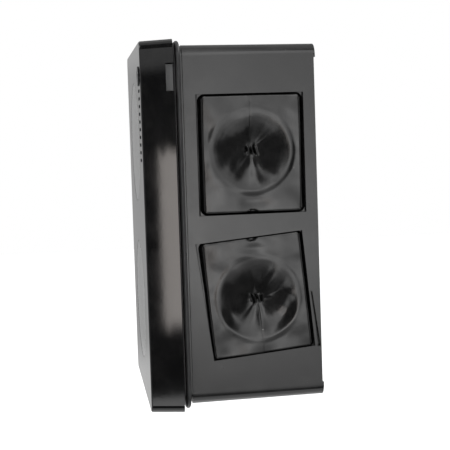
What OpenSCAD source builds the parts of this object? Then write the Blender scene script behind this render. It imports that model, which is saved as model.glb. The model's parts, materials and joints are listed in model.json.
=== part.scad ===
// Compact two-aspect pedestrian signal head.
// The door faces -Y, the wall lies on the plane Y = 0, and Z is up.
// The origin is the middle of the wall bolt pattern.

/* [Housing] */
// Width of the housing
housing_w = 148; // [147:0.5:152]
// Height of the housing at its front rim
housing_h = 263; // [259:0.5:264]
// Depth of the housing, rim to back wall
housing_d = 97; // [96:0.5:104]
// Thickness of the moulded walls
wall = 3; // [2.6:0.1:3.2]
// Corner radius of the housing
housing_r = 9; // [7:0.5:11]
// Inward draft of the top and bottom walls at the back
draft = 0.5; // [0:0.1:1.2]

/* [Door] */
// Width of the door at its front face
door_w = 156; // [155.5:0.5:158]
// Height of the door at its front face
door_h = 268.5; // [267:0.5:272]
// Depth of the door, front face to skirt edge
door_d = 24; // [23.5:0.5:26]
// How far each side flares out towards the skirt edge
door_flare = 1.3; // [0.8:0.1:1.6]
// Corner radius of the door
door_r = 6.5; // [5:0.5:8]
// Width of the open joint between door and seal
door_gap = 1.6; // [1.4:0.1:1.8]

/* [Seal] */
// Thickness of the round seal bead
bead_t = 4.4; // [4:0.1:4.6]
// How far the bead stands proud of the housing
bead_out = 3.3; // [2.8:0.1:3.5]
// Width of the groove between bead and housing rim
bead_groove = 1; // [0.8:0.1:1.2]

/* [Windows] */
// Visible diameter of each signal window
window_d = 92; // [86:1:92]
// Distance between the two window centres
window_pitch = 124; // [118:1:126]

/* [Cable entries] */
// Width of each square entry in the side wall
entry_w = 79.5; // [78:0.5:80]
// Height of each square entry in the side wall
entry_h = 88.3; // [87:0.5:89]
// Width of the soft pad that fills the entry
pad_w = 74; // [70:0.5:75]
// Height of the soft pad that fills the entry
pad_h = 86; // [82:0.5:86]
// Diameter of the round dish in each pad
dish_d = 60; // [52:1:62]
// Depth of the round dish
dish_depth = 8; // [6:0.5:9]
// Turn of the lower entry, which sits askew in the wall
lower_turn = 5; // [0:0.5:6]

/* [Hinges] */
// Distance of each hinge from the middle of the door
hinge_z = 85; // [80:1:90]
// Diameter of the hinge pin
pin_d = 4; // [3:0.1:4]
// Running clearance around the hinge pin, on the radius
pin_play = 0.05; // [0.03:0.01:0.08]

/* [Wall bolts] */
// Spacing of the wall bolts across
bolt_x = 90; // [80:1:100]
// Spacing of the wall bolts up and down
bolt_z = 200; // [180:1:206]
// Diameter of each wall bolt hole
bolt_d = 6.5; // [5:0.1:7]

/* [Hidden] */

$fn = 64;
HULL_FN = 32;
SLICE = 0.02;
CLEAR = 0.3;

// Depths along Y, from the wall forward
foot_t = 1;
foot_h = 10.5;
back_y = -foot_t;
rim_y = back_y - housing_d;
bead_back = rim_y - bead_groove;
bead_front = bead_back - bead_t;
skirt_y = bead_front - door_gap;
face_y = skirt_y - door_d;
floor_y = back_y - wall;

// Housing rim, collar and bead, measured from the middle
half_w = housing_w / 2;
half_h = housing_h / 2;
collar_in = 1.6;
collar_t = 2;
collar_y = bead_front - 0.6;
lip_y = skirt_y + CLEAR;

// Door wall and sealing land
door_wall = 3;
face_t = 3;
face_back = face_y + face_t;
face_bevel = 0.8;
land_w = 3.4;
land_t = 2;

// Window stack, from the front face back
lens_play = 0.3;
lens_lip_r = window_d / 2 + 3;
gasket_t = 0.6;
lens_lip_t = 2;
mask_t = 0.8;
ring_t = 2.4;
ring_r = window_d / 2 + 5.5;
ring_hole_r = window_d / 2 + 8.5;
ear_r = 4.5;
gasket_y = face_back + gasket_t;
lens_back = gasket_y + lens_lip_t;
mask_back = lens_back + mask_t;
ring_back = mask_back + ring_t;
window_z = window_pitch / 2;

// Chassis and light units behind the windows
chassis_y = -84;
chassis_t = 2;
chassis_w = 126;
chassis_h = 236;
post_x = 57;
post_z = 110;
tray_r = 51;
tray_wall = 2;
tray_front = ring_back + 2.6;
board_y = chassis_y - 6;
board_t = 1.6;
board_r = 44;
diffuser_t = 2;
led_d = 5;
led_h = 5;
led_rings = 3;
led_ring_step = 12;

// Sounder behind its louvre in the door
louvre_n = 10;
louvre_w = 15;
louvre_t = 2.4;
louvre_x = 61.5;
louvre_z = 74;
louvre_pitch = 5.6;
sounder_w = 15;
sounder_h = 50;
sounder_z = louvre_z - 2;
sounder_front = -117;
sounder_t = 12;
sounder_back = sounder_front + sounder_t;
bracket_h = 30;
bracket_t = 4;

// Door lock, and the notch that shows its strike
lock_x = 60;
lock_z = 110;
lock_d = 12;
lock_hole_d = 12.4;
core_d = 8;
cam_y = -113;
cam_t = 2;
cam_r = 11;
cam_hub_r = 5.5;
cam_w = 8;
notch_z = 107.8;
notch_h = 20.2;
notch_d = 5.6;
strike_x = half_w - collar_in - collar_t - 0.2;

// Hinge axis, outboard of the far side of the door
axis_x = -84.5;
axis_y = skirt_y + 0.5;
barrel_r = 4;
knuckle_l = 15;
leaf_l = 36;
leaf_t = 3;

// Square cable entries, placed on the side wall
upper_y = rim_y + 48.5;
upper_z = 51.1;
lower_y = rim_y + 50.3;
lower_z = -53;
pad_shift = 0.5;
pad_r = 4;
pad_lip_w = entry_w + 7;
pad_lip_h = entry_h + 5.2;
pad_lip_t = 2;
frame_t = 1.5;
skin_t = 1.6;
dish_shift = 2.5;

// Rear compartment
vent_x = -40;
vent_y = -40;
lead_x = -20;
lead_z = 18;
sounder_lead_x = 50;
sounder_lead_z = 95;
rail_x = -20;
rail_h = 190;
rail_w = 35;
rail_d = 7.5;
rail_skin = 1;
driver_z = 42;
driver_front = -68;
terminal_z = -48;
terminal_n = 8;
terminal_pitch = 5.4;
terminal_front = -52;

// ---- Shape helpers ----

// Rounded rectangle made of squares and true arcs
module rounded(w, h, r) {
  square([w - 2 * r, h], center = true);
  square([w, h - 2 * r], center = true);
  for (sx = [-1, 1], sz = [-1, 1])
    translate([sx * (w / 2 - r), sz * (h / 2 - r)]) circle(r);
}

// Extrudes an X-Z outline from y_front back to y_back
module slab(y_front, y_back) {
  translate([0, y_back, 0]) rotate([90, 0, 0])
    linear_extrude(y_back - y_front) children();
}

// Round bar along Y at a point of the X-Z plane
module bar_y(x, z, d, y_front, y_back) {
  slab(y_front, y_back) translate([x, z]) circle(d = d);
}

// Shell outline blended from a front size to a back size
module blend(front, back, y_front, y_back, r) {
  hull() {
    slab(y_front, y_front + SLICE) rounded(front[0], front[1], r, $fn = HULL_FN);
    slab(y_back - SLICE, y_back) rounded(back[0], back[1], r, $fn = HULL_FN);
  }
}

// Repeats its children at the four corners of a rectangle
module four(dx, dz) {
  for (sx = [-1, 1], sz = [-1, 1]) translate([sx * dx, 0, sz * dz]) children();
}

// Pan-head screw along +Y, with its seat at the origin
module pan_screw(d, l, head_d, head_t) {
  rotate([90, 0, 0]) difference() {
    cylinder(d = head_d, h = head_t);
    translate([0, 0, head_t / 2]) cube([head_d * 0.7, 1, head_t + 0.1], center = true);
  }
  rotate([-90, 0, 0]) cylinder(d = d, h = l);
}

// Round wire through a list of points
module wire(points, d) {
  for (i = [0:len(points) - 2]) hull() {
    translate(points[i]) sphere(d = d, $fn = 16);
    translate(points[i + 1]) sphere(d = d, $fn = 16);
  }
}

// ---- Housing ----

// Places an outline of the side wall (Y across, Z up) and cuts inward along X
module side_cut(y, z, turn, x_in, x_out) {
  translate([x_in, y, z]) rotate([turn, 0, 0]) rotate([90, 0, 90])
    linear_extrude(x_out - x_in) children();
}

// Entry that opens towards its upper front corner
module askew_entry() {
  w = pad_w / 2 + 1.2;
  h = pad_h / 2 + 0.4;
  polygon([[-w - 3.4, h], [w, h], [w, -h], [-w, -h]]);
}

// Narrow slot where the askew pad leaves the wall open
module wedge_slot() {
  x = pad_w / 2 + 2.4;
  z = pad_h / 2 + 1;
  polygon([[x, -2], [x + 1.2, -3], [x + 3, -z], [x + 0.5, -z]]);
}

module housing_walls() {
  difference() {
    blend([housing_w, housing_h], [housing_w, housing_h - 2 * draft],
          rim_y, back_y, housing_r);
    blend([housing_w - 2 * wall, housing_h - 2 * wall],
          [housing_w - 2 * wall, housing_h - 2 * (wall + draft)],
          rim_y - 1, floor_y, housing_r - wall);
  }
  slab(collar_y, rim_y + 2) difference() {
    rounded(housing_w - 2 * collar_in, housing_h - 2 * collar_in, housing_r - collar_in);
    rounded(housing_w - 2 * (collar_in + collar_t),
            housing_h - 2 * (collar_in + collar_t), housing_r - collar_in - collar_t);
  }
}

module housing_posts() {
  four(post_x, post_z) translate([0, floor_y + 0.5, 0]) rotate([90, 0, 0])
    cylinder(d = 10, h = floor_y + 0.5 - chassis_y - chassis_t);
  four(bolt_x / 2, bolt_z / 2) translate([0, 0, 0]) rotate([90, 0, 0])
    cylinder(d = 18, h = -floor_y + 3);
}

// Raised strips at the top and bottom that stand the back clear of the wall
module rear_feet() {
  slab(back_y - 0.2, 0) intersection() {
    rounded(housing_w, housing_h - 2 * draft, housing_r);
    for (s = [-1, 1]) translate([0, s * (half_h - draft - foot_h / 2)])
      square([housing_w, foot_h], center = true);
  }
}

// Raised seat for the lock strike on the inner wall
module strike_seat() {
  translate([strike_x, rim_y + 6, notch_z - 9]) cube([half_w - wall - strike_x + 0.5, 12, 18]);
}

module rear_housing() {
  color("#3c3e40") difference() {
    union() {
      housing_walls();
      housing_posts();
      rear_feet();
      strike_seat();
    }
    side_cut(upper_y, upper_z, 0, half_w - wall - 1, half_w + 1)
      square([entry_w, entry_h], center = true);
    side_cut(lower_y, lower_z, lower_turn, half_w - wall - 1, half_w + 1) {
      askew_entry();
      wedge_slot();
    }
    four(bolt_x / 2, bolt_z / 2) translate([0, 1, 0]) rotate([90, 0, 0])
      cylinder(d = bolt_d, h = 12);
    four(post_x, post_z) translate([0, chassis_y + chassis_t - 1, 0]) rotate([-90, 0, 0])
      cylinder(d = 3.3, h = 16);
    bar_y(35, -75, 6.1, floor_y - 1, back_y + 1);
    for (z = [-1, 1]) bar_y(rail_x, z * 80, 3.3, floor_y - 1, back_y + 1);
    translate([vent_x, vent_y, -half_h - 1]) cylinder(d = 10, h = 8);
    for (dz = [-6, 6]) translate([strike_x - 1, rim_y + 12, notch_z + dz])
      rotate([0, 90, 0]) cylinder(d = 3.1, h = 3.6);
    for (z = [-1, 1], dz = [-10, 10]) translate([-half_w - 1, rim_y + 18, z * hinge_z + dz])
      rotate([0, 90, 0]) cylinder(d = 3.3, h = wall + 2);
  }
}

// Round bead on the collar, with a soft lip that meets the door
module door_seal() {
  outer = [housing_w + 2 * bead_out, housing_h + 2 * bead_out];
  r = housing_r + bead_out;
  hole = [housing_w - 2 * collar_in, housing_h - 2 * collar_in];
  color("#1c1d1e") difference() {
    union() {
      slab(bead_front + 1.1, bead_back - 1.1) rounded(outer[0], outer[1], r);
      slab(bead_front + 0.4, bead_back - 0.4)
        rounded(outer[0] - 0.8, outer[1] - 0.8, r - 0.4);
      slab(bead_front, bead_back) rounded(outer[0] - 2.2, outer[1] - 2.2, r - 1.1);
      slab(lip_y, bead_back) rounded(hole[0] + 4, hole[1] + 4, housing_r - collar_in + 2);
    }
    slab(lip_y - 1, bead_back + 1) rounded(hole[0], hole[1], housing_r - collar_in);
    slab(lip_y - 1, collar_y) rounded(hole[0] + 1, hole[1] + 1, housing_r - collar_in + 0.5);
  }
}

// Soft square pad with a dished membrane and a slit; lies on the wall, facing +X
module cable_pad() {
  dish_r = dish_d / 2;
  tip = wall + pad_lip_t;
  translate([-wall - pad_lip_t, 0, 0]) rotate([90, 0, 90]) difference() {
    union() {
      linear_extrude(pad_lip_t) rounded(pad_lip_w, pad_lip_h, 3);
      linear_extrude(tip) translate([pad_shift, 0]) rounded(pad_w, pad_h, pad_r);
      translate([0, dish_shift, tip - dish_depth - skin_t])
        cylinder(r1 = 6, r2 = dish_r * 0.9, h = dish_depth);
    }
    translate([0, dish_shift, 0]) rotate_extrude() polygon([
      [0, tip - dish_depth], [4, tip - dish_depth + 0.3],
      [dish_r - 3, tip - 0.9], [dish_r, tip], [dish_r, tip + 1], [0, tip + 1]]);
    translate([-0.15, dish_shift + 8, tip - 1]) cube([0.3, pad_h, 2]);
    translate([0, -pad_h / 2 - 2.6, pad_lip_t + 0.4]) cylinder(r = 5, h = 5);
  }
}

module cable_pad_upper() {
  color("#2e3032") translate([half_w, upper_y, upper_z]) cable_pad();
}

// Room on the inner wall between the collar and the back
module wall_room() {
  intersection() {
    children();
    translate([half_w - 3 * wall, rim_y + 2.4, -half_h])
      cube([4 * wall, housing_d - wall - 2.8, housing_h]);
  }
}

// The lower pad is the same moulding turned over, its lip trimmed to the room
module cable_pad_lower() {
  color("#2e3032") {
    wall_room() translate([half_w, lower_y, lower_z])
      rotate([lower_turn + 180, 0, 0]) cable_pad();
  }
}

// Clamp frame that holds a pad against the inside of the wall
module pad_frame() {
  rotate([90, 0, 90]) linear_extrude(frame_t) difference() {
    rounded(pad_lip_w, pad_lip_h, 3);
    rounded(pad_w - 5, pad_h - 5, 3);
  }
}

module pad_frames() {
  back = half_w - wall - pad_lip_t - frame_t;
  color("#25272a") {
    translate([back, upper_y, upper_z]) pad_frame();
    wall_room() translate([back, lower_y, lower_z]) rotate([lower_turn, 0, 0]) pad_frame();
  }
}

// ---- Hinges ----

// Bracket on the far side of the housing, with two barrels
module hinge_leaf(z) {
  plate_x = -half_w;
  color("#2a2c2e") translate([0, 0, z]) difference() {
    union() {
      for (s = [-1, 1]) translate([0, 0, s * (leaf_l + knuckle_l + 1) / 4
                                   - (leaf_l - knuckle_l - 1) / 4])
        linear_extrude((leaf_l - knuckle_l - 1) / 2) {
          translate([axis_x, axis_y]) circle(barrel_r);
          polygon([[axis_x - barrel_r, axis_y], [axis_x + barrel_r, axis_y],
                   [axis_x + barrel_r, rim_y - 0.5], [plate_x, rim_y + 0.5],
                   [plate_x, rim_y + 10], [axis_x, rim_y + 6],
                   [axis_x - barrel_r, rim_y - 1]]);
        }
      translate([plate_x - leaf_t, rim_y + 0.5, -leaf_l / 2]) cube([leaf_t, 26, leaf_l]);
    }
    translate([axis_x, axis_y, -leaf_l / 2 - 1])
      cylinder(r = pin_d / 2 + pin_play, h = leaf_l + 2);
    for (dz = [-10, 10]) translate([plate_x - leaf_t - 1, rim_y + 18, dz])
      rotate([0, 90, 0]) cylinder(d = 4.2, h = leaf_t + 2);
  }
}

module hinge_leaf_upper() { hinge_leaf(hinge_z); }
module hinge_leaf_lower() { hinge_leaf(-hinge_z); }

module hinge_pin(z) {
  color("#b9bdc0") translate([axis_x, axis_y, z - leaf_l / 2 - 1]) {
    cylinder(d = pin_d, h = leaf_l + 1);
    translate([0, 0, leaf_l + 1]) cylinder(d = pin_d + 2.4, h = 1.6);
  }
}

module hinge_pin_upper() { hinge_pin(hinge_z); }
module hinge_pin_lower() { hinge_pin(-hinge_z); }

module leaf_screws() {
  color("#a8acb0") for (s = [-1, 1], dz = [-10, 10])
    translate([-half_w - leaf_t, rim_y + 18, s * hinge_z + dz]) rotate([0, 0, -90])
      pan_screw(3.2, wall + leaf_t + 1, 7, 2.2);
}

// ---- Lock strike ----

// Joggled strap from the inner wall into the notch in the door skirt
module lock_strike() {
  strap = 2.2;
  ledge_x = lock_x + lock_d / 2 + 0.7;
  tab_x = strike_x + 4.8;
  tab_z = notch_h - 0.8;
  color("#4a4c4e") difference() {
    translate([0, 0, notch_z - tab_z / 2]) linear_extrude(tab_z) {
      translate([strike_x - strap, collar_y - 3]) square([strap, 26]);
      translate([strike_x - strap, collar_y - 3]) square([tab_x - strike_x + strap, 2]);
      translate([tab_x - strap, cam_y - 1.5]) square([strap, collar_y - cam_y - 0.5]);
      translate([ledge_x, cam_y - 3]) square([tab_x - ledge_x, 2]);
    }
    for (dz = [-6, 6]) translate([strike_x - 4, rim_y + 12, notch_z + dz])
      rotate([0, 90, 0]) cylinder(d = 3.4, h = 6);
  }
}

module strike_screws() {
  color("#a8acb0") for (dz = [-6, 6])
    translate([strike_x - 2.2, rim_y + 12, notch_z + dz]) rotate([0, 0, -90])
      pan_screw(3, 4.6, 5.5, 1.6);
}

// ---- Chassis and light units ----

module chassis_plate() {
  color("#9aa0a4") difference() {
    slab(chassis_y, chassis_y + chassis_t) difference() {
      rounded(chassis_w, chassis_h, 6);
      for (s = [-1, 1]) translate([lead_x, s * window_z + lead_z]) circle(d = 9);
      translate([sounder_lead_x, sounder_lead_z]) circle(d = 7);
    }
    four(post_x, post_z) translate([0, chassis_y - 1, 0]) rotate([-90, 0, 0])
      cylinder(d = 4.3, h = chassis_t + 2);
  }
}

module chassis_screws() {
  color("#c2c6c8") four(post_x, post_z) translate([0, chassis_y, 0])
    pan_screw(3.2, 12, 7, 2.4);
}

// Open cup that keeps the light of one aspect to its own window
module light_tray(z) {
  color("#d8d9d6") difference() {
    bar_y(0, z, 2 * tray_r, tray_front, chassis_y);
    bar_y(0, z, 2 * (tray_r - tray_wall - 1.5), tray_front - 1, chassis_y - tray_wall);
    bar_y(0, z, 2 * (tray_r - tray_wall), tray_front - 1, tray_front + diffuser_t);
    bar_y(lead_x, z + lead_z, 8, chassis_y - 10, chassis_y + 1);
  }
}

module light_tray_upper() { light_tray(window_z); }
module light_tray_lower() { light_tray(-window_z); }

// Round circuit board on four short pillars
module led_board(z) {
  color("#2f6b45") bar_y(0, z, 2 * board_r, board_y - board_t, board_y);
  color("#d8d9d6") for (a = [45:90:315])
    bar_y(38 * cos(a), z + 38 * sin(a), 6, board_y, chassis_y - tray_wall);
}

module led_board_upper() { led_board(window_z); }
module led_board_lower() { led_board(-window_z); }

// Concentric rings of round emitters
module leds(z, tint) {
  color(tint) for (ring = [0:led_rings])
    for (i = [0:max(0, 6 * ring - 1)]) {
      a = ring == 0 ? 0 : i * 60 / ring;
      x = ring * led_ring_step * cos(a);
      bar_y(x, z + ring * led_ring_step * sin(a), led_d, board_y - board_t - led_h,
            board_y - board_t);
    }
}

module leds_upper() { leds(window_z, "#c23b2e"); }
module leds_lower() { leds(-window_z, "#3aa65c"); }

module diffuser(z) {
  bar_y(0, z, 2 * (tray_r - tray_wall) - 0.3, tray_front + 0.1, tray_front + diffuser_t);
}

module diffuser_upper() { color("#8f2a20") diffuser(window_z); }
module diffuser_lower() { color("#1f6f44") diffuser(-window_z); }

// ---- Sounder ----

module sounder_case() {
  color("#1f2022") difference() {
    slab(sounder_front, sounder_back) translate([louvre_x, sounder_z])
      rounded(sounder_w, sounder_h, 2);
    slab(sounder_front - 1, sounder_back - 2) translate([louvre_x, sounder_z])
      rounded(sounder_w - 3, sounder_h - 3, 1);
  }
}

module sounder_disc() {
  color("#c9a54a") for (z = [-16, 0, 16])
    bar_y(louvre_x, sounder_z + z, 11, sounder_back - 4, sounder_back - 2);
}

module sounder_bracket() {
  color("#9aa0a4") translate([louvre_x - bracket_t / 2 - 2, sounder_back, sounder_z - bracket_h / 2])
    cube([bracket_t, chassis_y - sounder_back, bracket_h]);
}

// ---- Rear compartment ----

// Top-hat rail on the back wall
module din_rail() {
  y0 = floor_y;
  color("#b8bcbf") difference() {
    translate([rail_x, 0, -rail_h / 2]) linear_extrude(rail_h) {
      translate([-rail_w / 2 + 5, y0 - rail_skin]) square([rail_w - 10, rail_skin]);
      for (s = [-1, 1]) {
        translate([s * (rail_w / 2 - 5.5) - 0.5, y0 - rail_d]) square([1, rail_d]);
        translate([s * (rail_w / 2 - 3) - 3, y0 - rail_d]) square([6, rail_skin]);
      }
    }
    for (z = [-1, 1]) bar_y(rail_x, z * 80, 4.3, y0 - 3, y0 + 1);
  }
}

module rail_screws() {
  color("#c2c6c8") for (z = [-1, 1]) translate([rail_x, floor_y - rail_skin, z * 80])
    pan_screw(3.2, wall + rail_skin, 7, 2.4);
}

// Power and control module clipped to the rail
module driver_module() {
  front = driver_front;
  back = floor_y - rail_d - CLEAR;
  color("#5b6066") difference() {
    slab(front, back) translate([rail_x, driver_z]) rounded(70, 90, 2);
    for (s = [-1, 1]) slab(front - 1, front + 12) translate([rail_x, driver_z + s * 39])
      square([62, 8], center = true);
    for (i = [-4:4]) slab(front - 1, front + 1) translate([rail_x + i * 6, driver_z])
      square([2, 36], center = true);
  }
}

// Row of screw terminals
module terminal_block() {
  front = terminal_front;
  back = floor_y - rail_d - CLEAR;
  color("#8c9094") for (i = [0:terminal_n - 1]) {
    z = terminal_z + (i - (terminal_n - 1) / 2) * terminal_pitch;
    difference() {
      translate([rail_x - 22, front, z - terminal_pitch / 2 + 0.05])
        cube([44, back - front, terminal_pitch - 0.1]);
      for (s = [-1, 1]) bar_y(rail_x + s * 15, z, 4, front - 1, front + 8);
      for (s = [-1, 1]) translate([rail_x + s * 22 - 4, front + 14, z - 1.6])
        cube([8, 6, 3.2]);
    }
  }
}

module terminal_screws() {
  front = terminal_front;
  color("#c2c6c8") for (i = [0:terminal_n - 1], s = [-1, 1]) {
    z = terminal_z + (i - (terminal_n - 1) / 2) * terminal_pitch;
    bar_y(rail_x + s * 15, z, 3.8, front + 5, front + 8);
  }
}

module earth_stud() {
  color("#c8a24c") bar_y(35, -75, 6, floor_y - 20, back_y - 0.4);
}

module earth_nuts() {
  color("#c8a24c") for (y = [-4, -12]) slab(floor_y + y, floor_y + y + 4)
    translate([35, -75]) difference() {
      circle(d = 11.5, $fn = 6);
      circle(d = 6, $fn = 64);
    }
}

// Breather pressed into the bottom wall
module vent_plug() {
  wall_z = -half_h + draft * (vent_y - rim_y) / housing_d;
  color("#1f2022") translate([vent_x, vent_y, wall_z]) {
    cylinder(d = 9.9, h = 9);
    translate([0, 0, -2]) cylinder(d = 15, h = 2);
  }
}

module lead_upper() {
  z = window_z + lead_z;
  color("#7d2b26") wire([[lead_x, driver_front + 9, z], [lead_x, driver_front - 4, z + 1],
                         [lead_x, board_y + 2.2, z]], 3.6);
}

module lead_lower() {
  z = -window_z + lead_z;
  color("#2c6b46") wire([[lead_x, driver_front + 9, driver_z - 39],
                         [lead_x, driver_front - 5, driver_z - 41],
                         [lead_x, driver_front - 6, z + 6],
                         [lead_x, driver_front - 10, z], [lead_x, board_y + 2.2, z]], 3.6);
}

module lead_supply() {
  top = terminal_z + (terminal_n - 1) / 2 * terminal_pitch;
  color("#4a4c50") wire([[rail_x - 23.6, terminal_front + 17, top], [-50, -38, top + 7],
                         [-50, -56, -10], [-48, driver_front - 4, -6],
                         [-44, driver_front - 4, 1], [-42, driver_front + 8, 3]], 2.8);
}

module lead_sounder() {
  color("#26282a") wire([[5, driver_front + 8, driver_z + 39],
                         [8, driver_front - 5, driver_z + 42], [44, -75, 93],
                         [sounder_lead_x, -79, sounder_lead_z],
                         [sounder_lead_x, -98, sounder_lead_z],
                         [57, sounder_back + 2, 92]], 3);
}

// ---- Door ----

module door_skin() {
  front = [door_w, door_h];
  back = [door_w + 2 * door_flare, door_h + 2 * door_flare];
  bevel = [door_w - 2 * face_bevel, door_h - 2 * face_bevel];
  inset = 2 * door_wall;
  difference() {
    hull() {
      slab(face_y, face_y + SLICE)
        rounded(bevel[0], bevel[1], door_r - face_bevel, $fn = HULL_FN);
      slab(face_y + face_bevel, face_y + face_bevel + SLICE)
        rounded(front[0], front[1], door_r, $fn = HULL_FN);
      slab(skirt_y - SLICE, skirt_y) rounded(back[0], back[1], door_r, $fn = HULL_FN);
    }
    blend([front[0] - inset, front[1] - inset], [back[0] - inset, back[1] - inset],
          face_back, skirt_y + 1, door_r - door_wall);
  }
}

// Inner rib that meets the lip of the seal
module door_land() {
  back = [door_w + 2 * door_flare, door_h + 2 * door_flare];
  outer = 2 * (door_wall - 0.6);
  inner = 2 * (door_wall + land_w);
  slab(skirt_y - land_t, skirt_y) difference() {
    rounded(back[0] - outer, back[1] - outer, door_r - 1);
    rounded(back[0] - inner, back[1] - inner, 2);
  }
}

module door_knuckle(z) {
  translate([0, 0, z - knuckle_l / 2]) linear_extrude(knuckle_l) {
    translate([axis_x, axis_y]) circle(barrel_r);
    polygon([[axis_x - barrel_r, axis_y], [axis_x - barrel_r, axis_y - 2.5],
             [axis_x + 4.5, axis_y - 12], [-door_w / 2, axis_y - 12],
             [-door_w / 2, skirt_y - 0.3], [axis_x + barrel_r, skirt_y - 0.3],
             [axis_x + barrel_r, axis_y]]);
  }
}

module front_door() {
  color("#151617") difference() {
    union() {
      door_skin();
      door_land();
      for (s = [-1, 1]) door_knuckle(s * hinge_z);
      for (s = [-1, 1], a = [45:90:315])
        bar_y(ring_hole_r * cos(a), s * window_z + ring_hole_r * sin(a), 6.5,
              face_back - 0.5, mask_back);
    }
    for (s = [-1, 1]) {
      bar_y(0, s * window_z, window_d, face_y - 1, face_back + 1);
      for (a = [45:90:315])
        bar_y(ring_hole_r * cos(a), s * window_z + ring_hole_r * sin(a), 2.5,
              face_back + 0.8, mask_back + 1);
      translate([axis_x, axis_y, s * hinge_z - knuckle_l]) cylinder(r = pin_d / 2 + pin_play,
                                                                  h = 2 * knuckle_l);
    }
    bar_y(lock_x, lock_z, lock_hole_d, face_y - 1, face_back + 1);
    for (i = [0:louvre_n - 1]) slab(face_y - 1, face_back + 1)
      translate([louvre_x, louvre_z + (i - (louvre_n - 1) / 2) * louvre_pitch])
        rounded(louvre_w, louvre_t, 1.1);
    translate([door_w / 2 - 8, skirt_y - notch_d, notch_z - notch_h / 2])
      cube([12, notch_d + 1, notch_h]);
  }
}

// Clear window with a lip behind the door face
module window(z) {
  bar_y(0, z, window_d - 2 * lens_play, face_y + 0.2, lens_back);
  bar_y(0, z, 2 * lens_lip_r, gasket_y, lens_back);
}

module window_upper() { color("#565a5e", 0.7) window(window_z); }
module window_lower() { color("#565a5e", 0.7) window(-window_z); }

module window_gasket(z) {
  color("#222426") slab(face_back, gasket_y) translate([0, z]) difference() {
    circle(lens_lip_r - 0.2);
    circle(window_d / 2 + 0.2);
  }
}

module window_gasket_upper() { window_gasket(window_z); }
module window_gasket_lower() { window_gasket(-window_z); }

// Bar with round ends between two points of an outline
module limb(a, b, w) {
  hull() {
    translate(a) circle(d = w, $fn = HULL_FN);
    translate(b) circle(d = w, $fn = HULL_FN);
  }
}

module standing_figure() {
  translate([0, 25]) circle(6);
  limb([0, 11.5], [0, -4], 12);
  for (s = [-1, 1]) {
    limb([s * 8, 14], [s * 10, -6], 4);
    limb([s * 3.2, -6], [s * 3.6, -29], 5.4);
  }
}

module walking_figure() {
  translate([1, 25]) circle(6);
  limb([0, 13], [0, -4], 9);
  limb([0, 14], [-11, 2], 4);
  limb([0, 14], [11, 4], 4);
  limb([0, -5], [10, -15], 5.4);
  limb([10, -15], [9, -29], 5);
  limb([0, -5], [-5, -17], 5.4);
  limb([-5, -17], [-14, -27], 5);
}

// Opaque disc that lets light through one figure
module symbol_mask(z) {
  color("#0e0f10") slab(lens_back, mask_back) translate([0, z]) difference() {
    circle(lens_lip_r - 0.4);
    children();
  }
}

module symbol_mask_upper() { symbol_mask(window_z) standing_figure(); }
module symbol_mask_lower() { symbol_mask(-window_z) walking_figure(); }

module clamp_ring(z) {
  color("#3a3d40") slab(mask_back, ring_back) translate([0, z]) difference() {
    union() {
      circle(ring_r);
      for (a = [45:90:315]) translate(ring_hole_r * [cos(a), sin(a)]) circle(ear_r);
    }
    circle(window_d / 2 - 1);
    for (a = [45:90:315]) translate(ring_hole_r * [cos(a), sin(a)]) circle(d = 3.2);
  }
}

module clamp_ring_upper() { clamp_ring(window_z); }
module clamp_ring_lower() { clamp_ring(-window_z); }

module clamp_screws() {
  color("#c2c6c8") for (s = [-1, 1], a = [45:90:315])
    translate([ring_hole_r * cos(a), ring_back, s * window_z + ring_hole_r * sin(a)])
      rotate([0, 0, 180]) pan_screw(2.4, 4.6, 5.5, 1.8);
}

// ---- Door lock ----

module lock_barrel() {
  color("#202224") difference() {
    union() {
      bar_y(lock_x, lock_z, lock_d + 2.4, face_y - 0.8, face_y);
      bar_y(lock_x, lock_z, lock_d, face_y - 0.4, cam_y - 0.4);
    }
    bar_y(lock_x, lock_z, core_d, face_y - 2, cam_y + 1);
  }
}

module lock_nut() {
  color("#a8acb0") slab(face_back, face_back + 3.4) translate([lock_x, lock_z]) difference() {
    circle(d = 17, $fn = 6);
    circle(d = lock_d, $fn = 64);
  }
}

// Turning core with a square key recess
module lock_core() {
  color("#8f9498") difference() {
    bar_y(lock_x, lock_z, core_d - 0.12, face_y - 0.6, cam_y + cam_t + 1.5);
    slab(face_y - 1, face_y + 3) translate([lock_x, lock_z]) square(4, center = true);
  }
}

// Arm that swings behind the strike
module lock_cam() {
  color("#a8acb0") slab(cam_y, cam_y + cam_t) translate([lock_x, lock_z]) difference() {
    union() {
      circle(cam_hub_r);
      translate([-cam_w / 2, 0]) square([cam_w, cam_r - 1]);
      intersection() {
        circle(cam_r);
        translate([-cam_w / 2, 0]) square([cam_w, cam_r]);
      }
    }
    circle(d = core_d - 0.12);
  }
}

rear_housing();
door_seal();
cable_pad_upper();
cable_pad_lower();
pad_frames();
hinge_leaf_upper();
hinge_leaf_lower();
hinge_pin_upper();
hinge_pin_lower();
leaf_screws();
lock_strike();
strike_screws();
chassis_plate();
chassis_screws();
light_tray_upper();
light_tray_lower();
led_board_upper();
led_board_lower();
leds_upper();
leds_lower();
diffuser_upper();
diffuser_lower();
sounder_case();
sounder_disc();
sounder_bracket();
din_rail();
rail_screws();
driver_module();
terminal_block();
terminal_screws();
earth_stud();
earth_nuts();
vent_plug();
lead_upper();
lead_lower();
lead_supply();
lead_sounder();
front_door();
window_upper();
window_lower();
window_gasket_upper();
window_gasket_lower();
symbol_mask_upper();
symbol_mask_lower();
clamp_ring_upper();
clamp_ring_lower();
clamp_screws();
lock_barrel();
lock_nut();
lock_core();
lock_cam();
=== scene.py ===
import json
import math

import bmesh
import bpy
from mathutils import Matrix, Vector, noise


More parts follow.
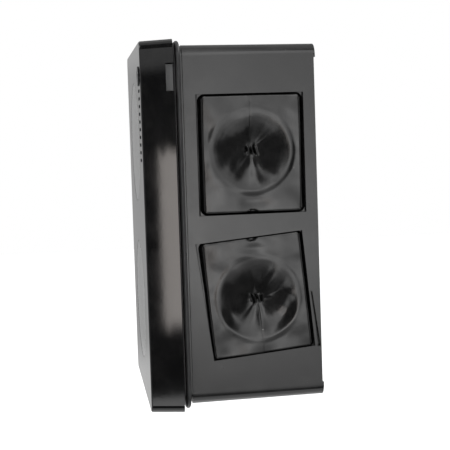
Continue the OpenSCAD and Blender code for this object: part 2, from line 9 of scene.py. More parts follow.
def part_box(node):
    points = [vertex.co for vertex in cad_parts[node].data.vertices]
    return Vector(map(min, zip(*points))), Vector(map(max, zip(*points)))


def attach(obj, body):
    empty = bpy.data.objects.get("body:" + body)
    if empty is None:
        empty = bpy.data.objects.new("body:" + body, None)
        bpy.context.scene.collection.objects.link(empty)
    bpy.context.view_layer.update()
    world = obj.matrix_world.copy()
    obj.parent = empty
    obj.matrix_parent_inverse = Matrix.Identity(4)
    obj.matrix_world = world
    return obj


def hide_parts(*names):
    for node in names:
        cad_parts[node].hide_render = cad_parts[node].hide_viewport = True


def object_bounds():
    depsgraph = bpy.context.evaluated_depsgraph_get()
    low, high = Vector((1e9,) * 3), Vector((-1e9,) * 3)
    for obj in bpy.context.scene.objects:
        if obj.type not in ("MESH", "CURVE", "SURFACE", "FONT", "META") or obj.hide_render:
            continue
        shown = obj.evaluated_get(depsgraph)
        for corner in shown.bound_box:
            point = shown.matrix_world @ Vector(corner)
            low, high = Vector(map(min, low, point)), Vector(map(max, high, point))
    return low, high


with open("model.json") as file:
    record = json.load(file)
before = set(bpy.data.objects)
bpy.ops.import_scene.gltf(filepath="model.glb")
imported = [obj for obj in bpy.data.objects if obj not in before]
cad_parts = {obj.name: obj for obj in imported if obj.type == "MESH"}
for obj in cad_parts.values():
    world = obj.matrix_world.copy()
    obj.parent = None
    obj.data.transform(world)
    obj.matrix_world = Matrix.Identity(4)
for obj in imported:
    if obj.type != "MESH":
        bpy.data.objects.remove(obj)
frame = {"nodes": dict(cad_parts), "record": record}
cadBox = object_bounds()
nodes = frame["nodes"]
mm = 0.001
print("frame loaded,", len(nodes), "nodes")


# node helpers used by the room and by the finishes

def mathNode(tree, kind, a, b=None, c=None, clamp=False):
    node = tree.nodes.new("ShaderNodeMath")
    node.operation = kind
    node.use_clamp = clamp
    for slot, value in enumerate((a, b, c)):
        if value is None:
            continue
        if isinstance(value, (int, float)):
            node.inputs[slot].default_value = value
        else:
            tree.links.new(value, node.inputs[slot])
    return node.outputs[0]


def scaledPlace(tree, scale, stretch=(1, 1, 1)):
    place = tree.nodes.new("ShaderNodeTexCoord")
    mapping = tree.nodes.new("ShaderNodeMapping")
    mapping.inputs["Scale"].default_value = stretch
    tree.links.new(place.outputs["Object"], mapping.inputs["Vector"])
    grow = tree.nodes.new("ShaderNodeVectorMath")
    grow.operation = "SCALE"
    tree.links.new(mapping.outputs[0], grow.inputs[0])
    if isinstance(scale, (int, float)):
        grow.inputs["Scale"].default_value = scale
    else:
        tree.links.new(scale, grow.inputs["Scale"])
    return grow.outputs[0]


def noiseNode(tree, place, detail=4, rough=0.6, distort=0.0):
    node = tree.nodes.new("ShaderNodeTexNoise")
    node.inputs["Scale"].default_value = 1.0
    node.inputs["Detail"].default_value = detail
    node.inputs["Roughness"].default_value = rough
    node.inputs["Distortion"].default_value = distort
    tree.links.new(place, node.inputs["Vector"])
    return node.outputs["Fac"]


def bandNode(tree, value, low, high):
    node = tree.nodes.new("ShaderNodeMapRange")
    node.interpolation_type = "SMOOTHSTEP"
    node.inputs["From Min"].default_value = low
    node.inputs["From Max"].default_value = high
    tree.links.new(value, node.inputs["Value"])
    return node.outputs["Result"]


# camera, world, floor and lights

view = {"place": (777.7, -176.4, 64.3), "heading": 8.51, "roll": -1.85, "lens": 78.4,
        "pitch": 2.58, "shift": (0.0044, -0.0985)}  # the place is in mm


def makeCamera():
    data = bpy.data.cameras.new("camera")
    data.lens = view["lens"]
    data.shift_x, data.shift_y = view["shift"]
    data.clip_start = 0.01
    camera = bpy.data.objects.new("camera", data)
    bpy.context.scene.collection.objects.link(camera)
    camera.location = Vector(view["place"]) * mm
    heading = math.radians(view["heading"])
    pitch = math.radians(view["pitch"])
    ahead = Vector((-math.cos(heading), math.sin(heading), -math.tan(pitch)))
    turn = ahead.to_track_quat("-Z", "Y").to_matrix().to_4x4()
    camera.rotation_euler = (turn @ Matrix.Rotation(math.radians(view["roll"]), 4, "Z")).to_euler()
    bpy.context.scene.camera = camera


studio = {"sky": 1.0, "fill": 0.85, "floorDrop": 0.9,
          "keyPlace": (0.9, -0.95, 0.75), "keySize": 0.5, "keyPower": 4.5,
          "rimPlace": (0.1, 0.9, 0.9), "rimSize": 0.6, "rimPower": 4.0, "aim": (0, -0.05, 0),
          "floorSize": 9, "floorGlow": 0.3}

# What shiny faces mirror: soft boxes around the room, given by direction in degrees.
# Azimuth 0 is +X and 90 is +Y; each box is (azimuth, elevation) ranges, edge softness, glow.
boxes = {
    "sideBox": ((3.2, 24), (-30, 82), (2.2, 34), 0.9),
    "sideBoxHigh": ((3.2, 20), (-12.4, 60), (2.2, 6), 0.75),
    "sideBoxNear": ((3.0, 9), (-13, 60), (2.0, 4), 1.05),
    "sideBand": ((3.2, 24), (-10.5, -1.5), (2.2, 4.5), 0.75),
    "sideTop": ((1, 24), (20, 46), (4, 8), 0.9),
    "topPatch": ((-9, 3.2), (4.1, 9), (0.8, 0.9), 0.75),
    "footPatch": ((-9, 3.2), (-24, -15.0), (0.8, 0.4), 2.0),
    "backWall": ((150, 212), (-75, 80), (25, 30), 0.36),
    "backFloor": ((150, 212), (-80, -12.4), (25, 2.5), 0.22),
    "backTop": ((150, 212), (4.2, 80), (25, 1.5), 0.08),
    "frontBox": ((-104, -58), (18, 66), (8, 14), 1.7),
    "frontRoom": ((-158, -44), (-55, 60), (18, 40), 0.55),
    "rearRoom": ((56, 92), (-45, 62), (12, 40), 0.9),
    "farBox": ((98, 140), (5, 60), (8, 14), 1.3),
    "floorBounce": ((-60, 320), (-95, -58), (5, 16), 1.1),
    "roof": ((-60, 320), (62, 95), (5, 20), 0.6),
}
roomGlow = 0.05
seam = (-50, 310)  # boxes that reach past 150 degrees are measured from here
cloud = {"scale": 5.5, "detail": 2, "gain": 0.8, "base": 0.62}
streak = {"azimuth": (-1.62, 2.4), "elevation": (-10.95, -0.7), "glow": 4.9,
          "tint": (1.0, 0.93, 0.885, 1), "ragged": 2.4, "ragScale": 2.6, "ragDetail": 3,
          "soft": (0.4, 0.9)}


def spanNode(tree, value, span, soft):
    rise = bandNode(tree, value, span[0] - soft / 2, span[0] + soft / 2)
    fall = bandNode(tree, value, span[1] + soft / 2, span[1] - soft / 2)
    return mathNode(tree, "MULTIPLY", rise, fall)


def directionNodes(tree):
    place = tree.nodes.new("ShaderNodeTexCoord")
    split = tree.nodes.new("ShaderNodeSeparateXYZ")
    tree.links.new(place.outputs["Generated"], split.inputs[0])
    x, y, z = split.outputs
    azimuth = mathNode(tree, "MULTIPLY", mathNode(tree, "ARCTAN2", y, x), 180 / math.pi)
    height = mathNode(tree, "MULTIPLY", mathNode(tree, "ARCSINE", z), 180 / math.pi)
    return azimuth, height


def makeWorld():
    world = bpy.data.worlds.new("studio")
    world.use_nodes = True
    bpy.context.scene.world = world
    tree = world.node_tree
    tree.nodes.clear()
    link = tree.links.new
    azimuth, height = directionNodes(tree)
    turned = mathNode(tree, "WRAP", azimuth, seam[1], seam[0])
    total = still = None
    for name, (across, up, soft, glow) in boxes.items():
        bearing = azimuth if across[1] < 150 else turned
        glowing = mathNode(tree, "MULTIPLY", spanNode(tree, bearing, across, soft[0]), glow)
        glowing = mathNode(tree, "MULTIPLY", glowing, spanNode(tree, height, up, soft[1]))
        if name.startswith("back"):
            still = glowing if still is None else mathNode(tree, "ADD", glowing, still)
        else:
            total = mathNode(tree, "ADD", glowing, roomGlow if total is None else total)
    place = tree.nodes.new("ShaderNodeTexCoord")
    uneven = tree.nodes.new("ShaderNodeTexNoise")  # the light is a little uneven
    uneven.inputs["Scale"].default_value = cloud["scale"]
    uneven.inputs["Detail"].default_value = cloud["detail"]
    link(place.outputs["Generated"], uneven.inputs["Vector"])
    total = mathNode(tree, "MULTIPLY", total,
                     mathNode(tree, "MULTIPLY_ADD", uneven.outputs["Fac"], cloud["gain"],
                              cloud["base"]))
    total = mathNode(tree, "ADD", total, still)
    rag = tree.nodes.new("ShaderNodeTexNoise")
    rag.noise_dimensions = "1D"
    rag.inputs["Scale"].default_value = streak["ragScale"]
    rag.inputs["Detail"].default_value = streak["ragDetail"]
    link(azimuth, rag.inputs["W"])
    raggedHeight = mathNode(tree, "MULTIPLY_ADD", rag.outputs["Fac"], streak["ragged"], height)
    low, high = (edge + streak["ragged"] / 2 for edge in streak["elevation"])
    softSide, softEnd = streak["soft"]
    streakMask = mathNode(tree, "MULTIPLY", spanNode(tree, azimuth, streak["azimuth"], softSide),
                          spanNode(tree, raggedHeight, (low, high), softEnd))
    room = tree.nodes.new("ShaderNodeBackground")
    link(total, room.inputs["Strength"])
    warm = tree.nodes.new("ShaderNodeBackground")
    warm.inputs["Color"].default_value = streak["tint"]
    link(mathNode(tree, "MULTIPLY", streakMask, streak["glow"]), warm.inputs["Strength"])
    both = tree.nodes.new("ShaderNodeAddShader")
    link(room.outputs[0], both.inputs[0])
    link(warm.outputs[0], both.inputs[1])
    path = tree.nodes.new("ShaderNodeLightPath")
    fill = tree.nodes.new("ShaderNodeBackground")
    fill.inputs["Strength"].default_value = studio["fill"]
    sky = tree.nodes.new("ShaderNodeBackground")
    sky.inputs["Strength"].default_value = studio["sky"]
    for shader in (room, fill, sky):
        shader.inputs["Color"].default_value = (1, 1, 1, 1)
    soften = tree.nodes.new("ShaderNodeMixShader")
    show = tree.nodes.new("ShaderNodeMixShader")
    out = tree.nodes.new("ShaderNodeOutputWorld")
    link(path.outputs["Is Diffuse Ray"], soften.inputs[0])
    link(both.outputs[0], soften.inputs[1])
    link(fill.outputs[0], soften.inputs[2])
    link(path.outputs["Is Camera Ray"], show.inputs[0])
    link(soften.outputs[0], show.inputs[1])
    link(sky.outputs[0], show.inputs[2])
    link(show.outputs[0], out.inputs["Surface"])


def areaLight(name, place, size, power):
    data = bpy.data.lights.new(name, "AREA")
    data.shape = "RECTANGLE"
    data.size = data.size_y = size
    data.energy = power
    lamp = bpy.data.objects.new(name, data)
    bpy.context.scene.collection.objects.link(lamp)
    lamp.location = place
    aim = Vector(studio["aim"]) - Vector(place)
    lamp.rotation_euler = aim.to_track_quat("-Z", "Y").to_euler()


def meshObject(name, bm, smoothAngle=35):
    mesh = bpy.data.meshes.new(name)
    bm.to_mesh(mesh)
    bm.free()
    mesh.shade_smooth()
    mesh.set_sharp_from_angle(angle=math.radians(smoothAngle))
    piece = bpy.data.objects.new(name, mesh)
    bpy.context.scene.collection.objects.link(piece)
    return piece


def makeFloor():
    bm = bmesh.new()
    bmesh.ops.create_grid(bm, x_segments=8, y_segments=8, size=studio["floorSize"])
    bmesh.ops.translate(bm, verts=bm.verts, vec=(0, 0, cadBox[0].z - studio["floorDrop"]))
    floor = meshObject("floor", bm)
    material, shader = newMaterial("paleFloor")
    tree = material.node_tree
    shader.inputs["Base Color"].default_value = (0.93, 0.93, 0.93, 1)
    shader.inputs["Roughness"].default_value = 0.9
    shader.inputs["Specular IOR Level"].default_value = 0.0
    shader.inputs["Emission Color"].default_value = (1, 1, 1, 1)
    shader.inputs["Emission Strength"].default_value = studio["floorGlow"]
    path = tree.nodes.new("ShaderNodeLightPath")  # mirrored rays pass on to the room
    clear = tree.nodes.new("ShaderNodeBsdfTransparent")
    choose = tree.nodes.new("ShaderNodeMixShader")
    tree.links.new(path.outputs["Is Glossy Ray"], choose.inputs[0])
    tree.links.new(shader.outputs[0], choose.inputs[1])
    tree.links.new(clear.outputs[0], choose.inputs[2])
    tree.links.new(choose.outputs[0], tree.nodes["Material Output"].inputs["Surface"])
    floor.data.materials.append(material)


# shader node groups shared by the finishes

def newMaterial(name):
    material = bpy.data.materials.new(name)
    material.use_nodes = True
    return material, material.node_tree.nodes["Principled BSDF"]


def newGroup(name, inputs, outputs):
    group = bpy.data.node_groups.new(name, "ShaderNodeTree")
    for label, value in inputs.items():
        socket = group.interface.new_socket(name=label, in_out="INPUT", socket_type="NodeSocketFloat")
        socket.default_value = value
    for label in outputs:
        group.interface.new_socket(name=label, in_out="OUTPUT", socket_type="NodeSocketFloat")
    return group, group.nodes.new("NodeGroupInput"), group.nodes.new("NodeGroupOutput")


def makeGrainGroup():
    # the fine spark texture of a mould, as a height and a cloudy tone
    group, ins, outs = newGroup("mouldGrain", {"Scale": 1500.0, "Cloud Scale": 35.0},
                                ("Height", "Cloud"))
    fine = noiseNode(group, scaledPlace(group, ins.outputs["Scale"]), 3, 0.55)
    cell = group.nodes.new("ShaderNodeTexVoronoi")
    cell.inputs["Scale"].default_value = 1.0
    group.links.new(scaledPlace(group, ins.outputs["Scale"]), cell.inputs["Vector"])
    height = mathNode(group, "MULTIPLY_ADD", cell.outputs["Distance"], 0.5, fine)
    cloud = noiseNode(group, scaledPlace(group, ins.outputs["Cloud Scale"]), 5, 0.6, 0.4)
    group.links.new(height, outs.inputs["Height"])
    group.links.new(cloud, outs.inputs["Cloud"])
    return group


def makeScuffGroup():
    # hairline rubs running several ways, broken up by patches
    group, ins, outs = newGroup("rubMarks", {"Amount": 0.5, "Scale": 400.0}, ("Mask",))
    lines = None
    for stretch in ((1, 1, 0.03), (1, 0.04, 1), (0.7, 0.05, 0.06)):
        value = noiseNode(group, scaledPlace(group, ins.outputs["Scale"], stretch), 2, 0.5, 0.2)
        thin = bandNode(group, value, 0.68, 0.74)
        lines = thin if lines is None else mathNode(group, "MAXIMUM", lines, thin)
    patches = bandNode(group, noiseNode(group, scaledPlace(group, 22.0), 3), 0.5, 0.66)
    mask = mathNode(group, "MULTIPLY", mathNode(group, "MULTIPLY", lines, patches),
                    ins.outputs["Amount"], clamp=True)
    group.links.new(mask, outs.inputs["Mask"])
    return group


def makeDustGroup():
    # pale dust, thicker on faces that look up
    group, ins, outs = newGroup("dustFilm", {"Amount": 0.2, "Scale": 60.0}, ("Mask", "Specks"))
    cell = group.nodes.new("ShaderNodeTexVoronoi")
    cell.inputs["Scale"].default_value = 1.0
    group.links.new(scaledPlace(group, 150.0), cell.inputs["Vector"])
    chance = group.nodes.new("ShaderNodeSeparateColor")
    group.links.new(cell.outputs["Color"], chance.inputs[0])
    rare = bandNode(group, chance.outputs[0], 0.93, 0.95)
    dot = mathNode(group, "SUBTRACT", 1.0, bandNode(group, cell.outputs["Distance"], 0.03, 0.055))
    group.links.new(mathNode(group, "MULTIPLY", rare, dot), outs.inputs["Specks"])
    surface = group.nodes.new("ShaderNodeNewGeometry")
    split = group.nodes.new("ShaderNodeSeparateXYZ")
    group.links.new(surface.outputs["Normal"], split.inputs[0])
    upward = mathNode(group, "MULTIPLY_ADD", split.outputs["Z"], 0.6, 0.4, clamp=True)
    specks = bandNode(group, noiseNode(group, scaledPlace(group, ins.outputs["Scale"]), 8, 0.75),
                      0.42, 0.72)
    mask = mathNode(group, "MULTIPLY", mathNode(group, "MULTIPLY", specks, upward),
                    ins.outputs["Amount"], clamp=True)
    group.links.new(mask, outs.inputs["Mask"])
    return group


def makeBrushGroup():
    # drawn lines along Z, for rolled and drawn metal
    group, ins, outs = newGroup("drawnLines", {"Scale": 900.0}, ("Height",))
    value = noiseNode(group, scaledPlace(group, ins.outputs["Scale"], (1, 1, 0.02)), 3, 0.6)
    group.links.new(value, outs.inputs["Height"])
    return group


groups = {}


def addGroup(tree, name, **values):
    node = tree.nodes.new("ShaderNodeGroup")
    node.node_tree = groups[name]
    for label, value in values.items():
        node.inputs[label.replace("_", " ")].default_value = value
    return node


def mixColour(tree, factor, first, second):
    node = tree.nodes.new("ShaderNodeMix")
    node.data_type = "RGBA"
    if isinstance(factor, (int, float)):
        node.inputs[0].default_value = factor
    else:
        tree.links.new(factor, node.inputs[0])
    for slot, value in ((6, first), (7, second)):
        if isinstance(value, tuple):
            node.inputs[slot].default_value = (*value, 1)
        else:
            tree.links.new(value, node.inputs[slot])
    return node.outputs[2]


def makeFinish(name, dark, light, rough=(0.4, 0.5), grain=1500.0, bump=0.1, cloud=35.0,
               rubs=0.3, rubTone=(0.3, 0.3, 0.3), dust=0.1, metallic=0.0, brushed=False,
               coat=0.0, ior=1.5, seeThrough=0.0, specular=0.5):
    material, shader = newMaterial(name)
    tree = material.node_tree
    link = tree.links.new
    grainNode = addGroup(tree, "mouldGrain", Scale=grain, Cloud_Scale=cloud)
    rubNode = addGroup(tree, "rubMarks", Amount=rubs)
    dustNode = addGroup(tree, "dustFilm", Amount=dust)
    cloudMask = bandNode(tree, grainNode.outputs["Cloud"], 0.35, 0.65)
    colour = mixColour(tree, cloudMask, dark, light)
    colour = mixColour(tree, rubNode.outputs["Mask"], colour, rubTone)
    colour = mixColour(tree, dustNode.outputs["Mask"], colour, (0.42, 0.41, 0.39))
    if dust:
        colour = mixColour(tree, dustNode.outputs["Specks"], colour, (0.5, 0.49, 0.47))
    link(colour, shader.inputs["Base Color"])
    low, high = rough
    roughness = mathNode(tree, "MULTIPLY_ADD", cloudMask, high - low, low)
    roughness = mathNode(tree, "MULTIPLY_ADD", rubNode.outputs["Mask"], 0.2, roughness)
    roughness = mathNode(tree, "MULTIPLY_ADD", dustNode.outputs["Mask"], 0.35, roughness, clamp=True)
    link(roughness, shader.inputs["Roughness"])
    shader.inputs["Metallic"].default_value = metallic
    shader.inputs["IOR"].default_value = ior
    shader.inputs["Specular IOR Level"].default_value = specular
    if coat:
        shader.inputs["Coat Weight"].default_value = coat
        shader.inputs["Coat Roughness"].default_value = 0.06
    if seeThrough:
        shader.inputs["Transmission Weight"].default_value = seeThrough
    height = grainNode.outputs["Height"]
    if brushed:
        height = addGroup(tree, "drawnLines").outputs["Height"]
    bumpNode = tree.nodes.new("ShaderNodeBump")
    bumpNode.inputs["Strength"].default_value = bump
    bumpNode.inputs["Distance"].default_value = 0.0004
    link(height, bumpNode.inputs["Height"])
    link(bumpNode.outputs["Normal"], shader.inputs["Normal"])
    return material


# every finish of the record, by its slot
finishes = {
    "housing_plastic": dict(dark=(0.007, 0.007, 0.0072), light=(0.01, 0.01, 0.0102),
                            rough=(0.17, 0.22), grain=1700.0, bump=0.03, rubs=0.16,
                            rubTone=(0.05, 0.05, 0.05), dust=0.03),
    "door_plastic": dict(dark=(0.0022, 0.0022, 0.0024), light=(0.0034, 0.0034, 0.0036),
                         rough=(0.03, 0.045), grain=500.0, bump=0.003, rubs=0.06,
                         rubTone=(0.05, 0.05, 0.05), dust=0.02),
    "seal_rubber": dict(dark=(0.012, 0.012, 0.013), light=(0.018, 0.018, 0.019),
                        rough=(0.3, 0.4), grain=2200.0, bump=0.08, rubs=0.1, dust=0.04),
    "pad_rubber": dict(dark=(0.003, 0.003, 0.0031), light=(0.0045, 0.0045, 0.0046),
                       rough=(0.16, 0.22), grain=1900.0, bump=0.02, cloud=50.0, rubs=0.12,
                       rubTone=(0.05, 0.05, 0.05), dust=0.03),
    "frame_plastic": dict(dark=(0.03, 0.031, 0.033), light=(0.04, 0.041, 0.043)),
    "hinge_paint": dict(dark=(0.02, 0.021, 0.022), light=(0.028, 0.029, 0.03),
                        rough=(0.35, 0.5), grain=2600.0, bump=0.25, rubs=0.4),
    "pin_steel": dict(dark=(0.5, 0.51, 0.52), light=(0.62, 0.63, 0.64), metallic=1.0,
                      rough=(0.22, 0.34), brushed=True, bump=0.1),
    "screw_steel": dict(dark=(0.46, 0.47, 0.49), light=(0.6, 0.61, 0.63), metallic=1.0,
                        rough=(0.25, 0.4), grain=3000.0, bump=0.12),
    "strike_paint": dict(dark=(0.06, 0.061, 0.062), light=(0.075, 0.076, 0.077),
                         rough=(0.4, 0.5), grain=2000.0),
    "chassis_aluminium": dict(dark=(0.6, 0.61, 0.62), light=(0.72, 0.73, 0.74), metallic=1.0,
                              rough=(0.34, 0.46), brushed=True, bump=0.18),
    "tray_plastic": dict(dark=(0.62, 0.62, 0.6), light=(0.72, 0.72, 0.69), rough=(0.45, 0.55)),
    "board_laminate": dict(dark=(0.012, 0.09, 0.045), light=(0.02, 0.13, 0.065),
                           rough=(0.25, 0.35), grain=1100.0, bump=0.08),
    "red_emitter": dict(dark=(0.5, 0.02, 0.012), light=(0.62, 0.04, 0.02), rough=(0.08, 0.15),
                        bump=0.02),
    "green_emitter": dict(dark=(0.02, 0.4, 0.12), light=(0.04, 0.52, 0.18), rough=(0.08, 0.15),
                          bump=0.02),
    "red_diffuser": dict(dark=(0.5, 0.02, 0.014), light=(0.54, 0.024, 0.016),
                         rough=(0.16, 0.22), grain=1500.0, bump=0.04, rubs=0.05, dust=0.03),
    "green_diffuser": dict(dark=(0.016, 0.4, 0.15), light=(0.018, 0.43, 0.165),
                           rough=(0.16, 0.22), grain=1500.0, bump=0.04, rubs=0.05, dust=0.03),
    "sounder_plastic": dict(dark=(0.02, 0.02, 0.021), light=(0.028, 0.028, 0.03)),
    "disc_brass": dict(dark=(0.55, 0.38, 0.14), light=(0.68, 0.5, 0.2), metallic=1.0,
                       rough=(0.25, 0.4)),
    "rail_steel": dict(dark=(0.5, 0.51, 0.5), light=(0.62, 0.63, 0.61), metallic=1.0,
                       rough=(0.3, 0.42), brushed=True, bump=0.15),
    "module_plastic": dict(dark=(0.1, 0.105, 0.115), light=(0.13, 0.135, 0.145),
                           rough=(0.45, 0.55), bump=0.2),
    "terminal_plastic": dict(dark=(0.24, 0.25, 0.26), light=(0.3, 0.31, 0.32),
                             rough=(0.4, 0.5)),
    "earth_brass": dict(dark=(0.55, 0.38, 0.14), light=(0.68, 0.5, 0.2), metallic=1.0,
                        rough=(0.28, 0.42)),
    "vent_plastic": dict(dark=(0.02, 0.02, 0.021), light=(0.03, 0.03, 0.031)),
    "red_lead": dict(dark=(0.25, 0.012, 0.01), light=(0.33, 0.02, 0.015), rough=(0.35, 0.45)),
    "green_lead": dict(dark=(0.012, 0.16, 0.06), light=(0.02, 0.22, 0.08), rough=(0.35, 0.45)),
    "grey_lead": dict(dark=(0.12, 0.12, 0.125), light=(0.16, 0.16, 0.165), rough=(0.4, 0.5)),
    "black_lead": dict(dark=(0.012, 0.012, 0.013), light=(0.02, 0.02, 0.021), rough=(0.4, 0.5)),
    "window_clear": dict(dark=(0.88, 0.89, 0.89), light=(0.92, 0.93, 0.93), rough=(0.02, 0.04),
                         bump=0.004, rubs=0.02, dust=0.0, seeThrough=1.0, ior=1.49),
    "gasket_rubber": dict(dark=(0.015, 0.015, 0.016), light=(0.025, 0.025, 0.026),
                          rough=(0.7, 0.8)),
    "mask_film": dict(dark=(0.004, 0.004, 0.004), light=(0.007, 0.007, 0.007),
                      rough=(0.45, 0.55), bump=0.05, dust=0.0),
    "ring_plastic": dict(dark=(0.03, 0.031, 0.033), light=(0.04, 0.041, 0.043)),
    "lock_zinc": dict(dark=(0.02, 0.02, 0.022), light=(0.03, 0.03, 0.032), rough=(0.2, 0.3),
                      metallic=0.6, bump=0.05),
    "core_steel": dict(dark=(0.45, 0.46, 0.48), light=(0.55, 0.56, 0.58), metallic=1.0,
                       rough=(0.2, 0.3), bump=0.06),
}


def dressNodes():
    groups.update(mouldGrain=makeGrainGroup(), rubMarks=makeScuffGroup(),
                  dustFilm=makeDustGroup(), drawnLines=makeBrushGroup())
    made = {slot: makeFinish(slot, **values) for slot, values in finishes.items()}
    for entry in frame["record"]["subparts"]:
        mesh = nodes[entry["node"]].data
        mesh.materials.clear()
        mesh.materials.append(made[entry["material_slot"]])
    return made


def bodyOf(node):
    bodies = frame["record"]["behaviour"]["bodies"]
    return next(body for body, members in bodies.items() if node in members)


def slotOf(node):
    return next(e["material_slot"] for e in frame["record"]["subparts"] if e["node"] == node)


def standFor(piece, node):
    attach(piece, bodyOf(node))
    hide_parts(node)
    if not piece.data.materials:
        piece.data.materials.append(made[slotOf(node)])


# Moulded and machined pieces whose corners are rounded by a real bevel: width in mm, steps
softened = {
    "rear_housing": (0.5, 3), "front_door": (0.45, 3), "hinge_leaf_upper": (0.4, 2),
    "hinge_leaf_lower": (0.4, 2), "lock_strike": (0.25, 2), "lock_barrel": (0.25, 2),
    "chassis_plate": (0.2, 2), "light_tray_upper": (0.3, 2), "light_tray_lower": (0.3, 2),
    "clamp_ring_upper": (0.3, 2), "clamp_ring_lower": (0.3, 2), "sounder_case": (0.3, 2),
    "driver_module": (0.5, 2), "terminal_block": (0.2, 2), "din_rail": (0.15, 2),
    "vent_plug": (0.3, 2), "sounder_bracket": (0.2, 2), "lock_cam": (0.2, 2),
    "pad_frames": (0.3, 2), "chassis_screws": (0.15, 2), "leaf_screws": (0.15, 2),
    "clamp_screws": (0.12, 2), "strike_screws": (0.12, 2), "terminal_screws": (0.1, 2),
    "rail_screws": (0.15, 2), "earth_nuts": (0.2, 2), "lock_nut": (0.2, 2),
    "lock_core": (0.2, 2), "hinge_pin_upper": (0.35, 3), "hinge_pin_lower": (0.35, 3),
    "led_board_upper": (0.1, 1), "led_board_lower": (0.1, 1), "sounder_disc": (0.1, 1),
    "leds_upper": (0.4, 3), "leds_lower": (0.4, 3), "earth_stud": (0.2, 2),
}


edging = {"weld": 2e-6, "flat": 0.6, "sharp": 40}  # metres, then degrees


def softEdges(node, width, steps):
    bm = bmesh.new()
    bm.from_mesh(nodes[node].data)
    bmesh.ops.remove_doubles(bm, verts=bm.verts, dist=edging["weld"])
    bmesh.ops.dissolve_limit(bm, angle_limit=math.radians(edging["flat"]), verts=bm.verts,
                             edges=bm.edges)
    wide = [face for face in bm.faces if len(face.verts) > 4]
    bmesh.ops.triangulate(bm, faces=wide)
    piece = meshObject(node + "_soft", bm, edging["sharp"])
    bevel = piece.modifiers.new("bevel", "BEVEL")
    bevel.width = width * mm
    bevel.segments = steps
    bevel.limit_method = "ANGLE"
    bevel.angle_limit = math.radians(edging["sharp"])
    bevel.miter_outer = "MITER_ARC"
    even = piece.modifiers.new("evenNormals", "WEIGHTED_NORMAL")
    even.mode = "FACE_AREA"
    even.weight = 100
    even.keep_sharp = True
    standFor(piece, node)


# Soft square cable pads: a dished membrane, drawn in to a puckered middle, on a flanged body
pad = {"width": 74, "height": 86, "corner": 5.2, "shift": 0.5, "face": 74, "body": 5,
       "dishUp": 2.5, "dishReach": 31.5, "lipWidth": 86.5, "lipHeight": 93.5, "lip": 2,
       "skin": 1.5, "around": 384, "notchDrop": 45.6, "notchReach": 5, "notchDepth": 2.0,
       "rollSide": 1.9, "rollEnd": 1.3, "flatLoops": 26, "clampBack": -4.2, "clampFront": -97,
       "stripTop": -0.4, "stripEdge": 0.15}


def roundedLoop(halfWidth, halfHeight, corner, angle):
    # the point of a rounded rectangle seen from its middle at this angle
    dx, dy = math.cos(angle), math.sin(angle)
    reach = min(halfWidth / max(abs(dx), 1e-9), halfHeight / max(abs(dy), 1e-9))
    x, y = dx * reach, dy * reach
    cornerX, cornerY = halfWidth - corner, halfHeight - corner
    if abs(x) > cornerX and abs(y) > cornerY:
        alongX, alongY = math.copysign(cornerX, x), math.copysign(cornerY, y)
        part = dx * alongX + dy * alongY
        rest = alongX ** 2 + alongY ** 2 - corner ** 2
        reach = part + math.sqrt(max(part * part - rest, 0))
        x, y = dx * reach, dy * reach
    return x, y


def smoothStep(value, low, high):
    t = min(max((value - low) / (high - low), 0), 1)
    return t * t * (3 - 2 * t)


# slope of the membrane in degrees at each radius, from the middle out; it starts at dishReach
slopes = ((0, 2), (3, 10), (8, 14), (16, 15.5), (20, 14.5), (23.5, 11.5), (26.5, 8), (30, 3.5),
          (34, 0))
sinkStep = 0.05


def slopeAt(radius):
    for (r0, s0), (r1, s1) in zip(slopes, slopes[1:]):
        if radius <= r1:
            t = (radius - r0) / (r1 - r0)
            return s0 + (s1 - s0) * t * t * (3 - 2 * t)
    return 0.0


sinkSteps = [0.0]
for step in range(round(pad["dishReach"] / sinkStep)):
    radius = pad["dishReach"] - (step + 0.5) * sinkStep
    sinkSteps.append(sinkSteps[-1] + sinkStep * math.tan(math.radians(slopeAt(radius))))


def sinkAt(radius):
    back = (pad["dishReach"] - radius) / sinkStep
    if back <= 0:
        return 0.0
    whole = min(int(back), len(sinkSteps) - 2)
    return sinkSteps[whole] + (sinkSteps[whole + 1] - sinkSteps[whole]) * min(back - whole, 1)


def lump(u, v, middle, turn, long, short):
    # an oval swelling, 1 at its middle
    c, s = math.cos(math.radians(turn)), math.sin(math.radians(turn))
    du, dv = u - middle[0], v - middle[1]
    along, across = du * c + dv * s, dv * c - du * s
    return math.exp(-(along / long) ** 2 - (across / short) ** 2)


# creases (below 0) and petals (above 0) of the drawn middle: height, across, up, reach,
# width and lean
puckers = ((-2.2, -3.1, 0.6, 2.5, 0.62, 0.1), (1.5, -1.2, 0.2, 2.9, 0.85, -0.16),
           (-1.8, 0.4, -0.8, 1.9, 0.5, -0.3), (1.2, 1.5, 0.9, 2.6, 0.6, -0.2),
           (-2.5, 3.0, 0.5, 3.6, 0.5, -0.2), (0.9, 4.5, -0.6, 3.0, 0.75, -0.25))


# ripples of the drawn skin: how many round the dish, lean, size
ripples = ((2, 1.9, 0.14), (3, 0.8, 0.1), (5, 2.1, 0.08), (8, 4.0, 0.05), (13, 1.3, 0.03),
           (21, 0.4, 0.015))

# dents around the middle: height, place, turn, long reach, short reach
dents = ((1.1, (-10.5, -9.5), 52, 10.5, 5.6), (-0.5, (-10.8, -8.8), 52, 5.6, 3.0),
         (0.45, (9, -19), -35, 11, 5), (-0.35, (1, -8.5), 85, 4, 2.6), (0.7, (-8, 13), 30, 12, 6))
leafDents = ((0.9, (-9, -7), 50, 8, 3.6), (-0.8, (9, 1), 8, 7, 3.4))

